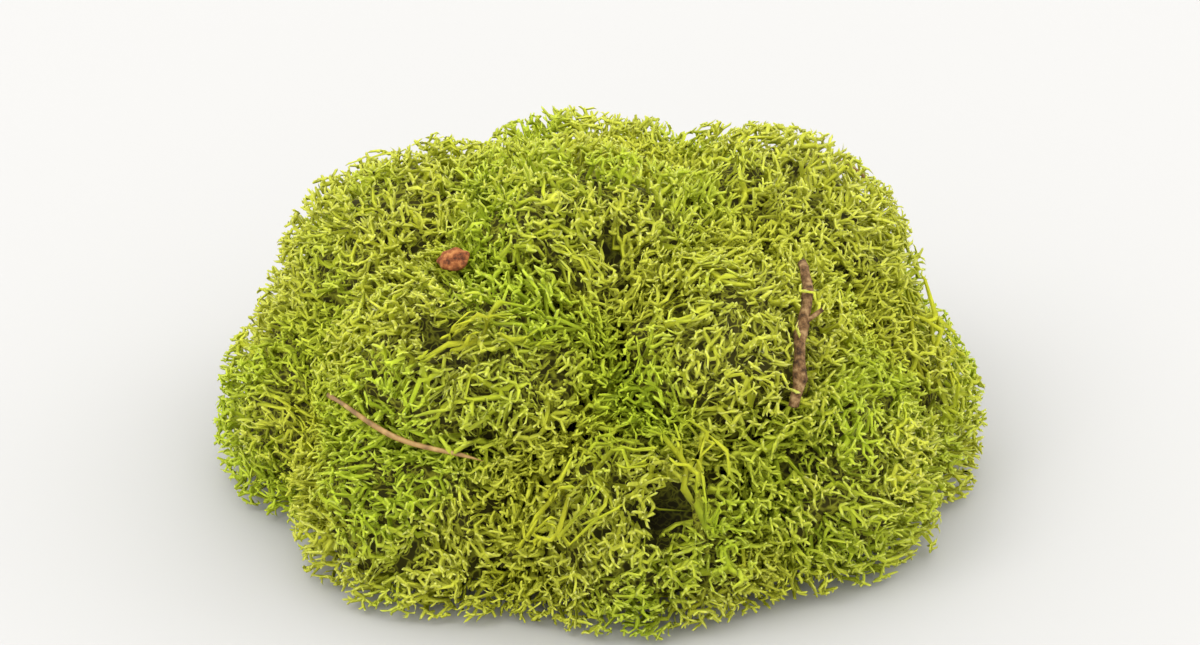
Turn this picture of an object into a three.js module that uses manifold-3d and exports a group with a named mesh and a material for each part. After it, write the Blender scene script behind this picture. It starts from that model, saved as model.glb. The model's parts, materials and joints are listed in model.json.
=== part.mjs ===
// A clump of reindeer lichen, Cladonia stellaris: a cushion of separate heads, each a crown of
// forked branchlets on its own bundle of stems. The stems stand in a mat of old dead stems, which
// is what the clump rests on. A dry twig, a scrap of bark and fallen pine needles are caught
// between the heads.
//
// Millimetres, +Z up, +X along the clump's longest way. The origin is at the middle of the
// clump's footprint, on the surface that it rests on.

import * as THREE from "three";
import { mergeVertices } from "three/addons/utils/BufferGeometryUtils.js";
import Module from "manifold-3d";

const wasm = await Module();
wasm.setup();

// The cushion: rings of heads from the top down to the rim
const CLUMP_LENGTH = 115; // along X, through the furthest a head could reach
const CLUMP_WIDTH = 101; // along Y
const CLUMP_HEIGHT = 54;
const CUSHION_FULLNESS = 2.2; // 2 is an ellipsoid, and more fills out its shoulders
const HEART_HEIGHT = 3; // the point that every head grows away from
const HEAD_RINGS = [
  { count: 1, height: 0.99, turn: 0.6 },
  { count: 5, height: 0.72, turn: 0.35 },
  { count: 8, height: 0.2, turn: 0.1 },
];
const HEAD_STRAY = 0.1; // how far a head stands from its even place
const HEAD_SIZES = [0.96, 1.03]; // smallest and largest head, as shares of the cushion's radius
const HEAD_SLOPE = 1.3; // how fast a head falls away towards the valleys round it
const SKIN_ROUNDS = 14; // how often the way to a head's skin is halved to find it

// The branchlets of one head
const TIP_SPACING = 2.32;
const TIP_CANDIDATES = 3000; // places tried for tips
const LOWEST_TIP = 0.94; // how deep in a valley tips still grow, as a share of the head's skin
const TIP_STRAY = 0.05; // how unevenly far the tips reach
const FOCUS = 0.6; // the middle of a head's crown, as a share of its reach
const SPLAY = 1.3; // how deep a fork lies under its tips, as a share of their spread
const DEEPEST_FORK = 0.8; // and at most as a share of the way down to the head's foot
const FORK_STRAY = 0.12; // how far a fork lies from its even place, as a share of the spread
const BRANCHLET_RADIUS = 0.68; // of the last branchlets
const THICKENING = 0.5; // the power by which a limb's radius grows with the number of its tips
const LEAST_RISE = 0.6; // least height of a fork over the limb before it, in radii
const LEAST_RADIUS = 0.35;
const FORK_RISE = 0.55; // how far the middle of a fork stands above its edge, in radii
const TIP_RADIUS = 0.15;

// The stems under a head
const SIDE_STEMS = 2;
const MIDDLE_STEM_RADIUS = 1.7;
const STEM_RADIUS = 0.8;
const STEM_SIDES = 3;
const STEM_SPREAD = 3.4; // between the middle stem and a side stem, at the foot
const STEM_BEND = 1.2;
const SHORTEST_STEM = 6;
const STEM_FOOT = 0.7; // how deep the stems' feet stand, from the heart to the mat's skin

// The mat of old stems
const MAT_RADII = [18, 15.5, 9];
const MAT_LUMPS = 0.08;
const OLD_STEM_COUNT = 20;
const OLD_STEM_TRIES = 160;
const OLD_STEM_RADII = [0.8, 1.1];
const OLD_STEM_TAPER = 0.7;
const OLD_STEM_ROOT = 0.5; // where they start, from the heart to the mat's skin
const OLD_STEM_REACH = [5, 12]; // how far they stand out of the mat
const OLD_STEM_BEND = 3;
const HOLE_SIDES = 4;

// Litter: where each piece lies, as turn, height and share of the way out to the heads' skin
const TWIG = {
  places: [
    [305, 0.55, 0.94],
    [332, 0.8, 0.96],
  ],
  bend: [1.9, -1.4, 2.4],
  radii: [0.75, 0.9, 0.65],
  sides: 6,
};
const BARK_SIZE = [5, 3.4, 1.8];
const BARK_LUMPS = 0.2;
const BARK_PLACE = [225, 0.86, 0.97];
const NEEDLES = [
  {
    places: [
      [216, 0.5, 0.95],
      [251, 0.46, 0.95],
    ],
    bend: [-2.6, -3.6, 2],
    radii: [0.3, 0.42, 0.22],
    sides: 3,
  },
  {
    places: [
      [25, 0.7, 0.96],
      [70, 0.6, 0.95],
    ],
    bend: [1.6, 2.2, 1.5],
    radii: [0.3, 0.42, 0.22],
    sides: 3,
  },
];

const GAP = 0.3; // air between two pieces
const FLOOR_CLEARANCE = 0.8; // how far the lowest branchlets stay above the surface
const SETTLING_ROUNDS = 12; // how often a point is moved off the walls of its room
const SETTLING_SLACK = 0.01;

const UP = new THREE.Vector3(0, 0, 1);
const heart = new THREE.Vector3(0, 0, HEART_HEIGHT);
const cushion = new THREE.Vector3(CLUMP_LENGTH / 2, CLUMP_WIDTH / 2, CLUMP_HEIGHT - HEART_HEIGHT);
const mat = new THREE.Vector3(...MAT_RADII);

// A repeatable stream of numbers from 0 to 1.
function randomStream(seed) {
  let state = seed;
  return () => {
    state = (state * 1664525 + 1013904223) % 4294967296;
    return state / 4294967296;
  };
}

const between = (random, low, high) => low + (high - low) * random();

function anyDirection(random) {
  const z = between(random, -1, 1);
  const turn = between(random, 0, 2 * Math.PI);
  const flat = Math.sqrt(1 - z * z);
  return new THREE.Vector3(flat * Math.cos(turn), flat * Math.sin(turn), z);
}

// One of a number of directions that are spread evenly all round.
function evenDirection(i, count) {
  const z = 1 - (2 * i + 1) / count;
  const turn = i * Math.PI * (3 - Math.sqrt(5));
  const flat = Math.sqrt(1 - z * z);
  return new THREE.Vector3(flat * Math.cos(turn), flat * Math.sin(turn), z);
}

// Two unit vectors square to a direction and to each other, turning the right way round it.
function sideways(direction) {
  const helper = Math.abs(direction.z) < 0.9 ? UP : new THREE.Vector3(1, 0, 0);
  const first = new THREE.Vector3().crossVectors(direction, helper).normalize();
  return [first, new THREE.Vector3().crossVectors(direction, first).normalize()];
}

const along = (origin, direction, distance) => origin.clone().addScaledVector(direction, distance);

const turned = ([first, second], turn) =>
  first.clone().multiplyScalar(Math.cos(turn)).addScaledVector(second, Math.sin(turn));

// The turn of a point about a centre, from 0 to a full turn.
function turnOf(point, centre, [first, second]) {
  const offset = point.clone().sub(centre);
  return (Math.atan2(offset.dot(second), offset.dot(first)) + 2 * Math.PI) % (2 * Math.PI);
}

const wallThrough = (point, normal) =>
  new THREE.Plane().setFromNormalAndCoplanarPoint(normal.normalize(), point);

const middleOf = (points) =>
  points.reduce((sum, point) => sum.add(point), new THREE.Vector3()).divideScalar(points.length);

// Solids

function solidOf(positions, triangles) {
  const mesh = new wasm.Mesh({
    numProp: 3,
    vertProperties: Float32Array.from(positions.flatMap((p) => [p.x, p.y, p.z])),
    triVerts: Uint32Array.from(triangles.flat()),
  });
  return new wasm.Manifold(mesh);
}

function solidOfGeometry(geometry) {
  const merged = mergeVertices(geometry.deleteAttribute("normal").deleteAttribute("uv"));
  const mesh = new wasm.Mesh({
    numProp: 3,
    vertProperties: merged.attributes.position.array,
    triVerts: Uint32Array.from(merged.index.array),
  });
  return new wasm.Manifold(mesh);
}

const joined = (solids) => wasm.Manifold.union(solids);

function largestPiece(solid) {
  return solid.decompose().reduce((a, b) => (a.volume() > b.volume() ? a : b));
}

function meshOf(name, solid, material) {
  const made = solid.getMesh();
  const geometry = new THREE.BufferGeometry();
  geometry.setAttribute("position", new THREE.BufferAttribute(made.vertProperties, 3));
  geometry.setIndex(new THREE.BufferAttribute(made.triVerts, 1));
  const mesh = new THREE.Mesh(geometry, material);
  mesh.name = name;
  return mesh;
}

// A tapered tube with flat ends through a few points.
function tube(points, radii, sides) {
  const positions = [];
  const triangles = [];
  const last = points.length - 1;
  const frame = sideways(points[last].clone().sub(points[0]).normalize());
  points.forEach((point, i) => {
    for (let k = 0; k < sides; k++)
      positions.push(along(point, turned(frame, (2 * Math.PI * k) / sides), radii[i]));
  });
  for (let i = 0; i < last; i++)
    for (let k = 0; k < sides; k++) {
      const [a, b] = [i * sides + k, i * sides + ((k + 1) % sides)];
      triangles.push([a, b, b + sides], [a, b + sides, a + sides]);
    }
  for (let k = 1; k + 1 < sides; k++) {
    const top = last * sides;
    triangles.push([0, k + 1, k], [top, top + k, top + k + 1]);
  }
  return solidOf(positions, triangles);
}

// Where each head stands

function skinPoint(direction, size) {
  const { x, y, z } = direction;
  const full = [x, y, z].reduce((sum, part) => sum + Math.abs(part) ** CUSHION_FULLNESS, 0);
  return direction
    .clone()
    .multiply(cushion)
    .multiplyScalar(size / full ** (1 / CUSHION_FULLNESS));
}

function headPlaces() {
  const random = randomStream(7);
  return HEAD_RINGS.flatMap((ring) =>
    Array.from({ length: ring.count }, (_, i) => {
      const turn = (2 * Math.PI * (i + ring.turn)) / ring.count;
      const flat = Math.sqrt(1 - ring.height ** 2);
      const direction = new THREE.Vector3(flat * Math.cos(turn), flat * Math.sin(turn), ring.height)
        .addScaledVector(anyDirection(random), HEAD_STRAY)
        .normalize();
      const size = between(random, ...HEAD_SIZES);
      const top = skinPoint(direction, size);
      const axis = top.clone().normalize();
      const foot = along(heart, axis, STEM_FOOT / axis.clone().divide(mat).length());
      return { direction, size, axis, foot, reach: top.length() };
    }),
  );
}

// How far the skin of a head is from the heart, on the way to a point. It is the cushion's skin,
// and falls away towards the valleys round the head.
function skinReach(place, point) {
  const direction = point.clone().sub(heart).divide(cushion).normalize();
  const fall = HEAD_SLOPE * (1 - direction.dot(place.direction));
  return skinPoint(direction, place.size).length() * (1 - fall);
}

// How far along a ray from inside a head its skin is.
function skinAlong(place, ray) {
  const point = new THREE.Vector3();
  let [near, far] = [0, place.reach];
  for (let round = 0; round < SKIN_ROUNDS; round++) {
    const half = (near + far) / 2;
    ray.at(half, point);
    if (point.distanceTo(heart) < skinReach(place, point)) near = half;
    else far = half;
  }
  return near;
}

// The room of one head: a cone from the heart, shared out evenly between the heads, above the floor.
// Each wall is a plane with its normal pointing into the room.
function roomOf(place, places) {
  const walls = places
    .filter((other) => other !== place)
    .map((other) => {
      const normal = place.direction.clone().sub(other.direction).divide(cushion).normalize();
      return new THREE.Plane(normal, -normal.dot(heart) - GAP / 2);
    });
  walls.push(new THREE.Plane(UP, -FLOOR_CLEARANCE));
  return walls;
}

// The point moved the shortest way until a ball of that radius round it is in the room.
function insideRoom(walls, point, radius) {
  const moved = point.clone();
  for (let round = 0; round < SETTLING_ROUNDS; round++)
    for (const wall of walls) {
      const short = radius - wall.distanceToPoint(moved);
      if (short > 0) moved.addScaledVector(wall.normal, short + SETTLING_SLACK);
    }
  return moved;
}

// The radius of the largest ball round a point that is in the room.
const roomRound = (walls, point) => Math.min(...walls.map((wall) => wall.distanceToPoint(point)));

// Picks of the points, each as far as possible from those before it.
function evenlySpread(points, spacing) {
  const chosen = [];
  const distances = points.map(() => Infinity);
  let next = 0;
  while (distances[next] > spacing) {
    chosen.push(points[next]);
    points.forEach((point, i) => {
      distances[i] = Math.min(distances[i], point.distanceTo(points[next]));
    });
    next = distances.indexOf(Math.max(...distances));
  }
  return chosen;
}

// Where the tips of a head end: on its skin and down into the valleys round it.
function tipPlaces(place, walls, random) {
  const focus = along(heart, place.axis, place.reach * FOCUS);
  const tips = [];
  for (let i = 0; i < TIP_CANDIDATES; i++) {
    const ray = new THREE.Ray(focus, evenDirection(i, TIP_CANDIDATES));
    const wall = Math.min(...walls.map((plane) => ray.distanceToPlane(plane) ?? Infinity));
    const end = ray.at(Math.min(wall, skinAlong(place, ray)), new THREE.Vector3());
    const tip = focus.clone().lerp(end, 1 - TIP_STRAY * random());
    if (end.distanceTo(heart) > LOWEST_TIP * skinReach(place, end)) tips.push(tip);
  }
  const spread = evenlySpread(tips, TIP_SPACING);
  return spread.slice(0, spread.length - (spread.length % 3));
}

// A head is one skin. It starts at the foot of its middle stem and forks in three, over and over,
// until every limb has three tips. Each fork splits the end of its limb round a raised middle, and
// shares out the room beyond it in three wedges, so that no two branches meet again.
class Head {
  constructor(place, random) {
    Object.assign(this, { place, random, positions: [], triangles: [], limbs: [] });
  }

  add(point) {
    return this.positions.push(point) - 1;
  }

  points(indices) {
    return indices.map((i) => this.positions[i]);
  }

  // A fork lies below its tips, towards the foot of the head.
  forkPoint(tips) {
    const middle = middleOf(tips);
    const spread = Math.sqrt(
      tips.reduce((sum, tip) => sum + tip.distanceToSquared(middle), 0) / tips.length,
    );
    const down = this.place.foot.clone().sub(middle);
    const depth = Math.min(SPLAY * spread, DEEPEST_FORK * down.length());
    return along(middle, down.normalize(), depth).addScaledVector(
      anyDirection(this.random),
      FORK_STRAY * spread,
    );
  }

  // The tips in three groups round the end of a limb, as compact as can be. With each group goes
  // its turn about the limb, from the limb's first side.
  groups(tips, end, frame) {
    const middle = middleOf(tips);
    const sorted = [...tips].sort((a, b) => turnOf(a, middle, frame) - turnOf(b, middle, frame));
    const unit = tips.length > 3 ? 3 : 1;
    const counts = [0, 1, 2].map((k) => unit * Math.ceil((tips.length / unit - k) / 3));
    let best = null;
    for (let start = 0; start < sorted.length; start++) {
      const order = [...sorted.slice(start), ...sorted.slice(0, start)];
      const parts = counts.map((count) => order.splice(0, count));
      const width = parts.reduce((sum, part) => {
        const centre = middleOf(part);
        return part.reduce((total, tip) => total + tip.distanceToSquared(centre), sum);
      }, 0);
      if (!best || width < best.width) best = { parts, width };
    }
    const full = best.parts.filter((part) => part.length > 0);
    const found = full.map((part) => ({ part, turn: turnOf(middleOf(part), end, frame) }));
    if (found.length === 2) {
      const turn = (found[0].turn + found[1].turn) / 2 + Math.PI;
      found.push({ part: [], turn: turn % (2 * Math.PI) });
    }
    found.sort((a, b) => a.turn - b.turn);
    while (found[0].turn + found[1].turn + found[2].turn > 4 * Math.PI) {
      const last = found.pop();
      found.unshift({ part: last.part, turn: last.turn - 2 * Math.PI });
    }
    while (found[0].turn + found[1].turn + found[2].turn < 2 * Math.PI) {
      const first = found.shift();
      found.push({ part: first.part, turn: first.turn + 2 * Math.PI });
    }
    return found;
  }

  // A limb from a triangle of the skin to its fork, and all that grows from there.
  limb(base, tips, walls) {
    const low = this.points(base);
    const start = middleOf(low);
    const fullRadius = BRANCHLET_RADIUS * (tips.length / 3) ** THICKENING;
    const floor = new THREE.Plane().setFromCoplanarPoints(...low);
    floor.constant -= LEAST_RISE * fullRadius;
    const end = insideRoom([...walls, floor], this.forkPoint(tips), fullRadius);
    const radius = Math.min(fullRadius, roomRound([...walls, floor], end));
    if (radius < LEAST_RADIUS) {
      this.triangles.push(base);
      return;
    }
    const heading = end.clone().sub(start).normalize();
    const first = new THREE.Vector3();
    low.forEach((corner, k) => {
      first.add(corner.clone().sub(start).applyAxisAngle(heading, (-2 * Math.PI * k) / 3));
    });
    first.projectOnPlane(heading).normalize();
    const frame = [first, new THREE.Vector3().crossVectors(heading, first)];
    const groups = this.groups(tips, end, frame);
    const turns = groups.map(({ turn }) => turn);
    const twist = (turns[0] + turns[1] + turns[2]) / 3 - Math.PI;
    const corners = turns.map((turn, k) => {
      const last = k === 0 ? turns[2] - 2 * Math.PI : turns[k - 1];
      const even = twist + (2 * Math.PI * k) / 3;
      return turned(frame, ((last + turn) / 2 + even) / 2);
    });
    const high = corners.map((corner) => this.add(along(end, corner, radius)));
    this.limbs.push({ line: new THREE.Line3(start, end), radius });
    this.skin(base, high, twist > 0);
    const middle = this.add(along(end, heading, FORK_RISE * radius));
    groups.forEach(({ part }, k) => {
      const next = (k + 1) % 3;
      const side = [high[k], high[next], middle];
      const wedge = [
        wallThrough(end, new THREE.Vector3().crossVectors(heading, corners[k])),
        wallThrough(end, new THREE.Vector3().crossVectors(corners[next], heading)),
        new THREE.Plane().setFromCoplanarPoints(...this.points(side)),
        wallThrough(end, heading.clone()),
      ];
      if (part.length > 1) this.limb(side, part, [...walls, ...wedge]);
      else if (part.length === 1) this.prong(side, part[0], [...walls, ...wedge]);
      else this.triangles.push(side);
    });
  }

  skin(low, high, forward) {
    for (let k = 0; k < 3; k++) {
      const next = (k + 1) % 3;
      if (forward) this.triangles.push([low[k], low[next], high[k]], [low[next], high[next], high[k]]);
      else this.triangles.push([low[k], low[next], high[next]], [low[k], high[next], high[k]]);
    }
  }

  prong(base, end, walls) {
    const place = insideRoom(walls, end, TIP_RADIUS);
    if (roomRound(walls, place) < 0) {
      this.triangles.push(base);
      return;
    }
    const tip = this.add(place);
    for (let k = 0; k < 3; k++) this.triangles.push([base[k], base[(k + 1) % 3], tip]);
    const line = new THREE.Line3(middleOf(this.points(base)), place);
    this.limbs.push({ line, radius: BRANCHLET_RADIUS });
  }

  grow(tips, walls) {
    const { axis, foot } = this.place;
    const frame = sideways(axis);
    const corners = [0, 1, 2].map((k) => turned(frame, (2 * Math.PI * k) / 3));
    const base = corners.map((corner) => this.add(along(foot, corner, MIDDLE_STEM_RADIUS)));
    this.triangles.push([base[0], base[2], base[1]]);
    this.limb(base, tips, walls);
    return solidOf(this.positions, this.triangles);
  }
}

// The side stems of a head, from the mat to the forks that the middle stem carries.
function sideStems(head, walls) {
  const { axis, foot } = head.place;
  const frame = sideways(axis);
  const firstTurn = between(head.random, 0, 2 * Math.PI);
  return Array.from({ length: SIDE_STEMS }, (_, i) => {
    const side = turned(frame, firstTurn + (2 * Math.PI * i) / SIDE_STEMS);
    const low = along(foot, side, STEM_SPREAD);
    const forks = head.limbs.filter(({ line }) => line.start.distanceTo(foot) > SHORTEST_STEM);
    const aim = (limb) => limb.line.end.clone().sub(low).normalize().dot(side);
    const high = forks.reduce((a, b) => (aim(a) > aim(b) ? a : b)).line.start;
    const bend = along(low.clone().lerp(high, 0.5), side, STEM_BEND);
    return [low, bend, high].map((point) => insideRoom(walls, point, STEM_RADIUS + GAP));
  });
}

// The mat of old stems

function lumpyBall(detail, lumps, radii, random) {
  const ball = new THREE.IcosahedronGeometry(1, detail);
  const merged = mergeVertices(ball.deleteAttribute("normal").deleteAttribute("uv"));
  const corners = merged.attributes.position;
  for (let i = 0; i < corners.count; i++) {
    const corner = new THREE.Vector3().fromBufferAttribute(corners, i);
    corner.multiply(radii).multiplyScalar(between(random, 1 - lumps, 1 + lumps));
    corners.setXYZ(i, corner.x, corner.y, corner.z);
  }
  return merged;
}

// Whether a tube of that radius between two points keeps clear of all limbs.
function isClear(start, end, radius, limbs) {
  const steps = Math.ceil(start.distanceTo(end));
  const nearest = new THREE.Vector3();
  for (let i = 0; i <= steps; i++) {
    const point = start.clone().lerp(end, i / steps);
    const touches = limbs.some((limb) => {
      limb.line.closestPointToPoint(point, true, nearest);
      return point.distanceTo(nearest) < limb.radius + radius + 2 * GAP;
    });
    if (touches) return false;
  }
  return true;
}

// Old stems that stand out of the mat wherever there is room between the limbs of the heads.
function oldStems(limbs) {
  const random = randomStream(31);
  const stems = [];
  for (let i = 0; stems.length < OLD_STEM_COUNT && i < OLD_STEM_TRIES; i++) {
    const direction = evenDirection(i, OLD_STEM_TRIES);
    if (direction.z < 0) direction.z *= -1;
    const skin = 1 / direction.clone().divide(mat).length();
    const start = along(heart, direction, OLD_STEM_ROOT * skin);
    const radius = between(random, ...OLD_STEM_RADII);
    const leaving = along(heart, direction, skin);
    const end = along(heart, direction, skin + between(random, ...OLD_STEM_REACH));
    end.addScaledVector(anyDirection(random), OLD_STEM_BEND);
    end.z = Math.max(end.z, FLOOR_CLEARANCE + radius);
    if (!isClear(leaving, end, radius, limbs)) continue;
    const radii = [radius, radius, OLD_STEM_TAPER * radius];
    stems.push(tube([start, leaving, end], radii, STEM_SIDES));
  }
  return stems;
}

function oldStemMat(limbs, stemLines) {
  const lens = solidOfGeometry(lumpyBall(1, MAT_LUMPS, mat, randomStream(5))).translate(heart.toArray());
  const below = new THREE.BoxGeometry(4 * mat.x, 4 * mat.y, 4 * mat.z).translate(0, 0, -2 * mat.z);
  const holes = stemLines.map(({ points, radii }) =>
    tube(points, radii.map((radius) => (radius + GAP) / Math.cos(Math.PI / HOLE_SIDES)), HOLE_SIDES),
  );
  const whole = joined([lens, ...oldStems(limbs)]).subtract(solidOfGeometry(below));
  return largestPiece(whole.subtract(joined(holes)));
}

// Litter caught between the heads. Each piece lies from one place on the cushion to another.

// A place is a turn from +X in degrees, a height from 0 at the rim to 1 at the top, and a share of
// the way out to the skin of the head that it is on.
function cushionPlace([turn, height, share]) {
  const flat = Math.sqrt(1 - height ** 2);
  const around = THREE.MathUtils.degToRad(turn);
  const direction = new THREE.Vector3(flat * Math.cos(around), flat * Math.sin(around), height);
  const nearness = (place) => direction.dot(place.direction);
  const head = places.reduce((a, b) => (nearness(a) > nearness(b) ? a : b));
  const way = direction.multiply(cushion).normalize();
  return along(heart, way, share * skinReach(head, way.clone().add(heart)));
}

// A bent rod, or with room, the groove that it lies in.
function rod({ places, bend, radii, sides }, room) {
  const [start, end] = places.map(cushionPlace);
  const way = end.clone().sub(start).normalize();
  const middle = start.clone().lerp(end, 0.5).add(new THREE.Vector3(...bend));
  const swell = room / Math.cos(Math.PI / sides);
  return tube(
    [along(start, way, -room), middle, along(end, way, room)],
    radii.map((radius) => radius + swell),
    sides,
  );
}

function barkScrap(room) {
  const radii = new THREE.Vector3(...BARK_SIZE).multiplyScalar(0.5).addScalar(room);
  const scrap = lumpyBall(0, BARK_LUMPS, radii, randomStream(3));
  const place = cushionPlace(BARK_PLACE);
  const lie = new THREE.Quaternion().setFromUnitVectors(UP, place.clone().sub(heart).normalize());
  return solidOfGeometry(scrap.applyQuaternion(lie).translate(...place.toArray()));
}

// The clump

const colours = { lichen: 0xa4ab38, oldStems: 0x5c5620, bark: 0x8a5a2c, needle: 0x8f7a3a };
const materialOf = (color) => new THREE.MeshStandardMaterial({ color, roughness: 0.9, metalness: 0 });
const lichen = materialOf(colours.lichen);

const places = headPlaces();
const litter = [
  { name: "twig", solid: (room) => rod(TWIG, room), material: materialOf(colours.bark) },
  { name: "bark_scrap", solid: barkScrap, material: materialOf(colours.bark) },
  ...NEEDLES.map((needle, i) => ({
    name: "pine_needle_" + (i + 1),
    solid: (room) => rod(needle, room),
    material: materialOf(colours.needle),
  })),
];
const grooves = joined(litter.map(({ solid }) => solid(GAP)));

const meshes = [];
const limbs = [];
const stemLines = [];
places.forEach((place, i) => {
  const walls = roomOf(place, places);
  const random = randomStream(100 + i);
  const head = new Head(place, random);
  const crown = head.grow(tipPlaces(place, walls, random), walls);
  const stems = sideStems(head, walls).map((points) => ({ points, radii: Array(3).fill(STEM_RADIUS) }));
  const trunk = head.limbs[0];
  limbs.push(...head.limbs);
  stemLines.push(...stems, {
    points: [along(place.foot, place.axis, -GAP), trunk.line.end],
    radii: [MIDDLE_STEM_RADIUS, trunk.radius],
  });
  const whole = joined([crown, ...stems.map(({ points, radii }) => tube(points, radii, STEM_SIDES))]);
  const solid = largestPiece(whole.subtract(grooves));
  meshes.push(meshOf("head_" + String(i + 1).padStart(2, "0"), solid, lichen));
});
meshes.push(meshOf("old_stem_mat", oldStemMat(limbs, stemLines), materialOf(colours.oldStems)));
for (const { name, solid, material } of litter) meshes.push(meshOf(name, solid(0), material));

const group = new THREE.Group();
group.add(...meshes);
const middle = new THREE.Box3().setFromObject(group).getCenter(new THREE.Vector3());
group.position.set(-middle.x, -middle.y, 0);

export default group;
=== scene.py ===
import json
import math
from collections import namedtuple

import bmesh
import bpy
import numpy as np
from mathutils import Matrix, Quaternion, Vector, noise

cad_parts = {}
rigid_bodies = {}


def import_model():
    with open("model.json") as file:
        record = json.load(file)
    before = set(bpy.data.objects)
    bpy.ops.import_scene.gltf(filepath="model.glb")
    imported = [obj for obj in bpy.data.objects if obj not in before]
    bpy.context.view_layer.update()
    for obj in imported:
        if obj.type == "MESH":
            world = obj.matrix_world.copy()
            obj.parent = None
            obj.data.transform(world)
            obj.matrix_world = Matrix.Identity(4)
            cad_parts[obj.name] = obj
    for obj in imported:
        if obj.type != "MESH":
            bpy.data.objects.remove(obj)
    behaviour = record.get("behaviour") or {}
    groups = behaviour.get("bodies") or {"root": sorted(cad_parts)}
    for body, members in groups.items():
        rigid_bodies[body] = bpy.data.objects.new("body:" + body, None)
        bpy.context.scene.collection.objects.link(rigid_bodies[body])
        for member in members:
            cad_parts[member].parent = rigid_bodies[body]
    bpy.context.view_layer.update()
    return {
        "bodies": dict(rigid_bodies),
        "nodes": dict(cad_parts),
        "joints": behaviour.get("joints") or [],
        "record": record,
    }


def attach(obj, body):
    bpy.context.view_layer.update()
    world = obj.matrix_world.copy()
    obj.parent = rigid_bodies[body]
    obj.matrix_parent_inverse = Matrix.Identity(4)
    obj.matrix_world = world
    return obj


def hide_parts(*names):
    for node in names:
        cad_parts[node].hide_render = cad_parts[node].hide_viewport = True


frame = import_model()


# ---------------------------------------------------------------------------------------------
# The floor
# A wide sheet of matt off-white board that the clump is set down on. It is not part of the
# clump, and nothing fixes the clump to it.
# ---------------------------------------------------------------------------------------------

FLOOR_SIZE = 3.0
FLOOR_GAP = 0.0001  # keeps the floor and the clump's flat spot from showing through each other


def colour(red, green, blue):
    """A colour given as 0 to 255, as the shaders want it."""
    shares = [part / 255 for part in (red, green, blue)]
    linear = [s / 12.92 if s <= 0.04045 else ((s + 0.055) / 1.055) ** 2.4 for s in shares]
    return (*linear, 1)


def new_material(name, **finish):
    """A material with its shader, and the values of the shader's sockets."""
    material = bpy.data.materials.new(name)
    material.use_nodes = True
    shader = material.node_tree.nodes["Principled BSDF"]
    for socket, value in finish.items():
        shader.inputs[socket.replace("_", " ")].default_value = value
    return material, material.node_tree, shader


def new_piece(name, bm, *materials):
    """An object of a finished bmesh."""
    mesh = bpy.data.meshes.new(name)
    bm.to_mesh(mesh)
    bm.free()
    for material in materials:
        mesh.materials.append(material)
    piece = bpy.data.objects.new(name, mesh)
    bpy.context.scene.collection.objects.link(piece)
    return piece


board, tree, shader = new_material("matt_board", Roughness=0.9, Base_Color=colour(186, 185, 183))
bm = bmesh.new()
bmesh.ops.create_grid(bm, x_segments=1, y_segments=1, size=FLOOR_SIZE / 2)
bmesh.ops.translate(bm, verts=bm.verts, vec=(0, 0, -FLOOR_GAP))
floor = new_piece("floor", bm, board)


# ---------------------------------------------------------------------------------------------
# The light and the camera
# Soft daylight from a bright room, with one large window above and to the left. The camera
# looks down on the clump by 30 degrees from the side of its long front.
# ---------------------------------------------------------------------------------------------

CAMERA_DISTANCE = 0.94
CAMERA_ELEVATION = 30  # degrees
CAMERA_TARGET = Vector((0, 0, 0.024))
CAMERA_LENS = 200  # mm
CAMERA_SENSOR = 36  # mm wide
CAMERA_CLIP = 0.01  # what is nearer to it than this doesn't show
ROOM_LIGHT = 1.66
WINDOWS = [
    # place, size and power
    ((-0.9, -0.7, 1.4), 1.0, 8.5),
    ((1.2, 0.4, 1.1), 1.2, 3.5),
]

world = bpy.data.worlds.new("bright_room")
bpy.context.scene.world = world
world.use_nodes = True
sky = world.node_tree.nodes["Background"]
sky.inputs["Color"].default_value = (1, 1, 1, 1)
sky.inputs["Strength"].default_value = ROOM_LIGHT
for place, size, power in WINDOWS:
    light = bpy.data.lights.new("window", "AREA")
    light.shape = "DISK"
    light.size = size
    light.energy = power
    lamp = bpy.data.objects.new("window", light)
    lamp.location = place
    lamp.rotation_euler = (CAMERA_TARGET - lamp.location).to_track_quat("-Z", "Y").to_euler()
    bpy.context.scene.collection.objects.link(lamp)

tilt = math.radians(CAMERA_ELEVATION)
camera = bpy.data.objects.new("camera", bpy.data.cameras.new("camera"))
camera.data.lens = CAMERA_LENS
camera.data.sensor_width = CAMERA_SENSOR
camera.data.clip_start = CAMERA_CLIP
camera.location = CAMERA_TARGET + CAMERA_DISTANCE * Vector((0, -math.cos(tilt), math.sin(tilt)))
camera.rotation_euler = (CAMERA_TARGET - camera.location).to_track_quat("-Z", "Y").to_euler()
bpy.context.scene.collection.objects.link(camera)
bpy.context.scene.camera = camera
bpy.context.scene.view_settings.view_transform = "Standard"


# ---------------------------------------------------------------------------------------------
# The twig
# A dry, broken twig with thin ridged bark. It fell on the lichen, and the growing heads hold it.
# ---------------------------------------------------------------------------------------------

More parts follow.
